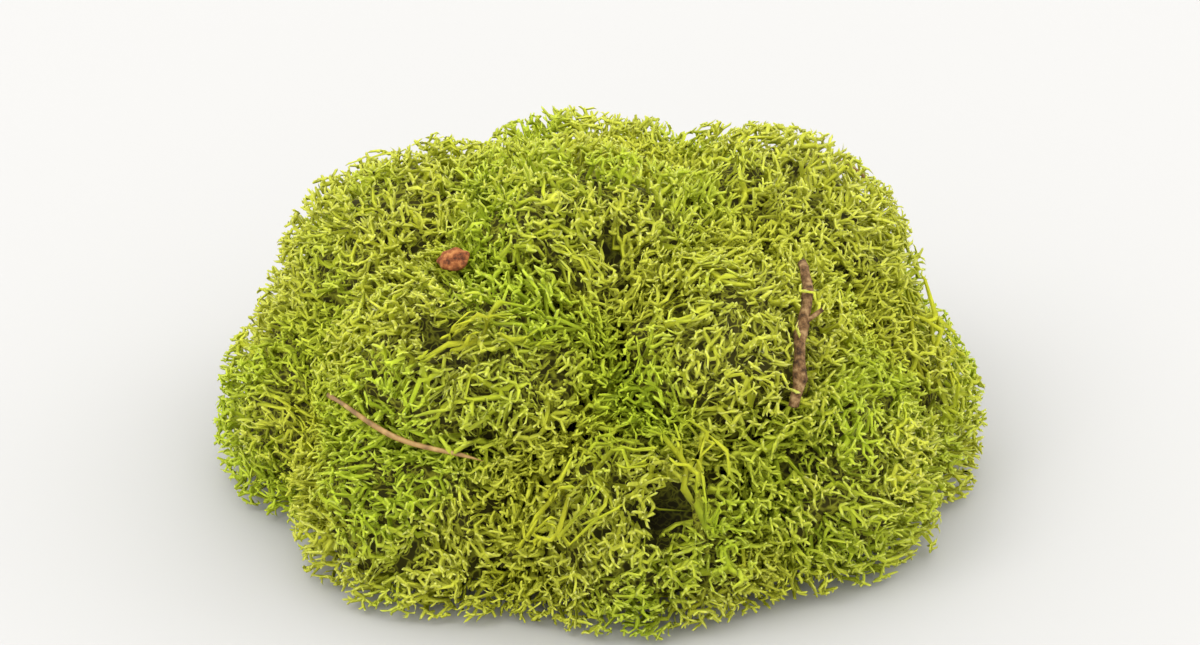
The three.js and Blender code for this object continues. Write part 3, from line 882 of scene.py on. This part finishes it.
def grow(bm, foot, axis, radius, tips, walls, draws, youngest=0.0, girth=1.0):
    """A lichen's skin, grown fork by fork from its foot until it has all its tips."""
    number = bm.faces.layers.int["number"]
    corner = bm.verts.layers.int["corner"]
    age_and_shade = bm.verts.layers.float["age_and_shade"]
    oldest = math.log(len(tips)) / (1 - youngest)
    lie = Matrix.Translation(foot) @ axis.to_track_quat("Z", "Y").to_matrix().to_4x4()
    made = bmesh.ops.create_cone(
        bm, cap_ends=True, segments=3, radius1=radius, radius2=radius, depth=radius, matrix=lie
    )["verts"]
    for vert in made:
        vert[age_and_shade] = 1
    bases = {face for vert in made for face in vert.link_faces}
    top = max(bases, key=lambda face: facing([vert.co for vert in face.verts]).dot(axis))
    buds = [(top, tips)]
    points = []
    while buds:
        forks = []
        bends = []
        for i, (face, tips) in enumerate(buds):
            face[number] = i
            corners = [vert.co for vert in face.verts]
            ring, top, parts = fork_of(corners, tips, walls, foot, draws, girth)
            fork_age = youngest + math.log(len(tips)) / oldest
            forks.append((ring, fork_age, top, parts))
            bends.append((bent_ring(corners, ring, walls), fork_age))
        ends = extrude_to(bm, [face for face, _ in buds], bends)
        ends = extrude_to(bm, ends, [fork[:2] for fork in forks])
        buds = []
        for face in bmesh.ops.poke(bm, faces=ends)["faces"]:
            _, fork_age, top, parts = forks[face[number]]
            face.verts[2].co = top
            face.verts[2][age_and_shade] = fork_age
            part = parts[face.verts[0][corner]]
            if part is not None:
                if len(part) <= TUFT_TIPS < 3 * len(part):
                    part = domed(part, np.array(foot))
                (buds if len(part) > 1 else points).append((face, part))
    ends = []
    bends = []
    for i, (face, part) in enumerate(points):
        face[number] = i
        corners = [vert.co.copy() for vert in face.verts]
        middle = middle_of(corners)
        radius = TIP_RADIUS * girth
        tip = inside_room(walls, Vector(part[0]), radius)
        turn = facing(corners).rotation_difference(tip - middle)
        ring = [tip + turn @ (corner - middle).normalized() * radius for corner in corners]
        bends.append((bent_ring(corners, ring, walls, TIP_BLUNTNESS), youngest + TIP_AGE))
        ends.append(tip)
    bends = extrude_to(bm, [face for face, _ in points], bends)
    for face in bmesh.ops.poke(bm, faces=bends)["faces"]:
        face.verts[2].co = ends[face[number]]
        face.verts[2][age_and_shade] = youngest


def core_points(place, walls, rays):
    """Where the dead inside of a head ends along each ray, and how far it gives way to hollows."""
    focus, ways = ways_out(place, walls, rays)
    lumps = [noise.noise(Vector(point) / CORE_LUMP_SIZE) for point in focus + rays * ways]
    points = focus + rays * ways * CORE_SHARE * (1 + CORE_LUMPS * np.array(lumps)[:, None])
    gives = np.zeros(len(rays))
    for middle, radius in hollows:
        offset = np.linalg.norm(points - np.array(middle), axis=1)
        gives = np.maximum(gives, 1 - offset / (radius * HOLLOW_DEPTH))
    return points + (focus - points) * gives[:, None], gives


def add_core(bm, place, walls):
    """The dark tangle of dead branchlets inside a head, which the live ones stand out of. Its dark
    colour is partly painted shade.

    Its age is 1, and goes on above 1 towards the bottom of a hollow, to paint the shade there.
    """
    age_and_shade = bm.verts.layers.float["age_and_shade"]
    made = bmesh.ops.create_icosphere(bm, subdivisions=CORE_DETAIL, radius=1)["verts"]
    rays = np.array([vert.co.normalized() for vert in made])
    for vert, point, give in zip(made, *core_points(place, walls, rays)):
        vert.co = Vector(point)
        # Painted shade: the further it gives way into a hollow, the older and darker it is painted
        vert[age_and_shade] = 1 + give


def add_side_stems(bm, place, walls, draws):
    """The thinner stems beside the middle one, from the mat up into the dead inside."""
    axis = Vector(place.axis)
    ends, _ = core_points(place, walls, even_directions(SIDE_STEM_TIPS * SIDE_STEMS))
    turn = draws.uniform(0, 2 * math.pi)
    for k in range(SIDE_STEMS):
        side = axis.orthogonal().normalized()
        side.rotate(Quaternion(axis, turn + 2 * math.pi * k / SIDE_STEMS))
        foot = inside_room(walls, Vector(place.foot) + side * SIDE_STEM_SPREAD, SIDE_STEM_RADIUS)
        tips = sorted(ends, key=lambda end: -(Vector(end) - foot).dot(side))
        tips = np.array(tips[:SIDE_STEM_TIPS])
        grow(bm, foot, axis, SIDE_STEM_RADIUS, tips, walls, draws, SIDE_STEM_YOUNGEST)


def add_bare_branch(bm, start, end, width, draws):
    """An older, thicker branch that lies bare over the heads and widens in a fan."""
    reach = end[2]
    start, end = np.array(cushion_place(*start)), np.array(cushion_place(*end))
    side = np.cross(end - start, start - HEART)
    side *= width / np.linalg.norm(side)
    tips = []
    for share in np.linspace(BARE_START, 1, BARE_TIPS):
        spot = start + (end - start) * share + side * share * draws.uniform(-1, 1)
        tips.append(np.array(at_skin(spot - HEART, reach * draws.uniform(*BARE_UNEVENNESS))))
    foot = Vector(start)
    axis = Vector(end - start).normalized()
    radius = BRANCHLET_RADIUS * BARE_GIRTH
    tips = np.array(tips)
    grow(bm, foot, axis, radius, tips, FLOOR_WALL, draws, BARE_YOUNGEST, BARE_GIRTH)


def bend_round_litter(bm):
    """Pushes a growth aside round the litter, and less the further it is from it."""
    for line, radius in litter:
        far = LITTER_PUSH * radius
        low = Vector(min(spot[k] for spot in line) - far for k in range(3))
        high = Vector(max(spot[k] for spot in line) + far for k in range(3))
        spots = np.array(line)
        for vert in bm.verts:
            if all(low[k] < vert.co[k] < high[k] for k in range(3)):
                nearest = spots[((spots - np.array(vert.co)) ** 2).sum(1).argmin()]
                offset = vert.co - Vector(nearest)
                room = radius + GAP
                fade = max(0, 1 - offset.length / far)
                vert.co += offset.normalized() * room * fade**2 * room / (room + offset.length)


def paint_depth_shade(bm):
    """Paints shade where little light comes, as more age towards the heart and in the valleys."""
    age_and_shade = bm.verts.layers.float["age_and_shade"]
    points = (np.array([vert.co for vert in bm.verts]) - HEART) / CUSHION
    heights = (np.abs(points) ** FULLNESS).sum(1) ** (1 / FULLNESS)
    for vert, height in zip(bm.verts, heights):
        vert[age_and_shade] = max(vert[age_and_shade], min(1, DEPTH_SHADE[0] - DEPTH_SHADE[1] * height))


def mix_colours(tree, factor, first, second, blend="MIX"):
    """Two colours mixed, each of them and the factor a value or a socket."""
    # In colour mode the factor is socket 0, the colours are 6 and 7 and the result is 2
    inputs = {0: factor, 6: first, 7: second}
    return add_node(tree, "ShaderNodeMix", inputs, data_type="RGBA", blend_type=blend).outputs[2]


def add_range(tree, value, low, high, first=0.0, last=1.0):
    """A value that goes from the first to the last while another goes from low to high."""
    inputs = {"Value": value, "From Min": low, "From Max": high, "To Min": first, "To Max": last}
    return add_node(tree, "ShaderNodeMapRange", inputs).outputs["Result"]


def new_flecks():
    """The darker and lighter flecks of a growth, on the colour that it has without them."""
    values = dict.fromkeys(("Scale", "Detail", "Low", "High"), "Float")
    inputs = {"Vector": "Vector", "Color": "Color", **values}
    group, given, made = new_group("flecks", inputs, {"Color": "Color"})
    pattern = add_noise(group, given["Vector"], given["Scale"], given["Detail"])
    level = add_range(group, pattern, given["Low"], given["High"], *FLECK_LEVELS)
    flecked = mix_colours(group, 1.0, given["Color"], level, "MULTIPLY")
    group.links.new(flecked, made["Color"])
    return group


flecks = new_flecks()
lichen, tree, shader = new_material(
    "dyed_lichen",
    Roughness=0.7,
    Specular_IOR_Level=0.12,
    Subsurface_Weight=0.3,
    Subsurface_Radius=(1.0, 1.0, 0.25),
    Subsurface_Scale=0.0006,
)
spot = add_node(tree, "ShaderNodeTexCoord").outputs["Object"]
# The age of each spot, raised as painted shade deep inside and in the valleys
age_and_shade = add_node(tree, "ShaderNodeAttribute", attribute_name="age_and_shade").outputs["Fac"]
yellow_by_age_and_shade = [
    (0, colour(202, 204, 114)),
    (0.12, colour(194, 198, 68)),
    (0.45, colour(200, 204, 54)),
    (0.8, colour(178, 181, 42)),
    (1, colour(144, 142, 34)),
]
green_by_age_and_shade = [
    (0, colour(194, 207, 92)),
    (0.12, colour(178, 196, 50)),
    (0.45, colour(170, 190, 42)),
    (0.8, colour(148, 164, 34)),
    (1, colour(122, 130, 28)),
]
greenness = add_range(tree, add_noise(tree, spot, PATCH_SCALE, 1), *GREEN_PATCHES)
yellow, green = (add_ramp(tree, age_and_shade, tones) for tones in (yellow_by_age_and_shade, green_by_age_and_shade))
dye_and_shade = mix_colours(tree, greenness, yellow, green)
dye_and_shade = add_group(tree, flecks, Vector=spot, Color=dye_and_shade, **LICHEN_FLECKS)["Color"]
# The dead inside: light strands on a dark ground, whose darkness is partly painted shade
strands = [
    (0.44, colour(58, 55, 15)),
    (0.475, colour(112, 113, 30)),
    (0.5, colour(152, 155, 44)),
    (0.525, colour(112, 113, 30)),
    (0.56, colour(58, 55, 15)),
]
tangle_and_shade = [add_ramp(tree, add_noise(tree, spot, scale, 1), strands) for scale in STRAND_SCALES]
tangle_and_shade = mix_colours(tree, 1.0, *tangle_and_shade, "LIGHTEN")
# Painted shade: the dead inside goes darker towards the bottom of a hollow
hollow_shade = add_range(tree, age_and_shade, *HOLLOW_SHADE_AGES, last=HOLLOW_SHADE_SHARE)
tangle_and_shade = mix_colours(tree, hollow_shade, tangle_and_shade, colour(*HOLLOW_SHADE_BROWN))
# The live colours go over into the dead inside with its painted shade
dye_and_shade = mix_colours(tree, add_range(tree, age_and_shade, *DEAD_AND_SHADE_AGES), dye_and_shade, tangle_and_shade)
tree.links.new(dye_and_shade, shader.inputs["Base Color"])
skin = add_group(tree, rough_skin, Vector=spot, **LICHEN_SKIN)
tree.links.new(skin["Normal"], shader.inputs["Normal"])

draws = np.random.default_rng(HOLLOWS_SEED)
hollows = [(cushion_place(*place), radius) for place, radius in LARGE_HOLLOWS]
for _ in range(HOLLOWS):
    middle = cushion_place(draws.uniform(0, 360), draws.uniform(*HOLLOW_HEIGHTS), 1)
    hollows.append((middle, draws.uniform(*HOLLOW_SIZES)))

for i, place in enumerate(places):
    draws = np.random.default_rng(HEADS_SEED + i)
    walls = room_of(i)
    bm = new_growth()
    tips = tip_places(place, walls, draws)
    grow(bm, Vector(place.foot), Vector(place.axis), TRUNK_RADIUS, tips, walls, draws)
    add_side_stems(bm, place, walls, draws)
    for start, end, width in BARE_BRANCHES:
        if head_at(np.array(cushion_place(*start)) - HEART) is place:
            add_bare_branch(bm, start, end, width, draws)
    bend_round_litter(bm)
    add_core(bm, place, walls)
    paint_depth_shade(bm)
    sway_and_place(bm)
    head = new_piece(f"lichen_head_{i + 1:02d}", bm, lichen)
    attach(head, "root")
    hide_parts(f"head_{i + 1:02d}")


# ---------------------------------------------------------------------------------------------
# The mat of old stems
# Under the heads lies what they grew from: a felted mat of dead, brown lichen stems, springy
# and brittle, with loose ends all round. The heads' stems stand in it.
# ---------------------------------------------------------------------------------------------

MAT_DETAIL = 4
MAT_LUMPS = 0.14
MAT_LUMP_SIZE = 3.0
OLD_STEMS = 70
OLD_STEM_TIPS = 12
OLD_STEM_FLATNESS = 0.8  # makes their ways out flatter than if they were spread evenly
OLD_STEM_REACH = (4, 15)  # how far the ends stand out of the mat
OLD_STEM_WIDTH = 5.0
OLD_STEM_RADIUS = 0.7
OLD_STEM_ROOT = 0.6  # where in the mat they start, as a share of the way out to its skin
OLD_STEM_YOUNGEST = 0.3  # the age of their tips
OLD_STEM_LOWEST = 1  # the least that a tip is above the floor
OLD_STEMS_SEED = 31
DEAD_FLECKS = {"Scale": 350, "Detail": 3, "Low": 0.3, "High": 0.7}
DEAD_SKIN = {"Scale": 2500, "Detail": 3, "Roughness": 0.5, "Strength": 0.6, "Distance": 0.0002}

dead, tree, shader = new_material("dead_stems", Roughness=0.85)
spot = add_node(tree, "ShaderNodeTexCoord").outputs["Object"]
age_and_shade = add_node(tree, "ShaderNodeAttribute", attribute_name="age_and_shade").outputs["Fac"]
browns = [(0.3, colour(128, 112, 58)), (0.7, colour(88, 72, 38)), (1, colour(50, 38, 20))]
brown = add_group(tree, flecks, Vector=spot, Color=add_ramp(tree, age_and_shade, browns), **DEAD_FLECKS)
tree.links.new(brown["Color"], shader.inputs["Base Color"])
skin = add_group(tree, rough_skin, Vector=spot, **DEAD_SKIN)
tree.links.new(skin["Normal"], shader.inputs["Normal"])

draws = np.random.default_rng(OLD_STEMS_SEED)
bm = new_growth()
age_and_shade = bm.verts.layers.float["age_and_shade"]
for vert in bmesh.ops.create_icosphere(bm, subdivisions=MAT_DETAIL, radius=1)["verts"]:
    lump = 1 + MAT_LUMPS * noise.noise(vert.co * MAT[0] / MAT_LUMP_SIZE)
    vert.co = Vector(HEART + np.array(vert.co) * MAT * lump)
    vert[age_and_shade] = 1
everything = bm.verts[:] + bm.edges[:] + bm.faces[:]
cut = bmesh.ops.bisect_plane(bm, geom=everything, plane_no=(0, 0, -1), clear_outer=True)
rim = [item for item in cut["geom_cut"] if isinstance(item, bmesh.types.BMEdge)]
bmesh.ops.edgeloop_fill(bm, edges=rim)
bmesh.ops.recalc_face_normals(bm, faces=bm.faces)
for direction in even_directions(2 * OLD_STEMS)[:OLD_STEMS]:
    direction = np.array([direction[0], direction[1], direction[2] * OLD_STEM_FLATNESS])
    direction /= np.linalg.norm(direction)
    skin_at = mat_skin(direction)
    foot = Vector(HEART + direction * skin_at * OLD_STEM_ROOT)
    reach = skin_at + draws.uniform(*OLD_STEM_REACH)
    scatter = draws.normal(size=(OLD_STEM_TIPS, 3)) * OLD_STEM_WIDTH / 2
    tips = HEART + direction * reach + scatter
    tips[:, 2] = np.maximum(tips[:, 2], OLD_STEM_LOWEST + draws.random(OLD_STEM_TIPS))
    axis = Vector(direction)
    grow(bm, foot, axis, OLD_STEM_RADIUS, tips, FLOOR_WALL, draws, OLD_STEM_YOUNGEST)
sway_and_place(bm)
mat = new_piece("mat_of_old_stems", bm, dead)
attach(mat, "root")
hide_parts("old_stem_mat")
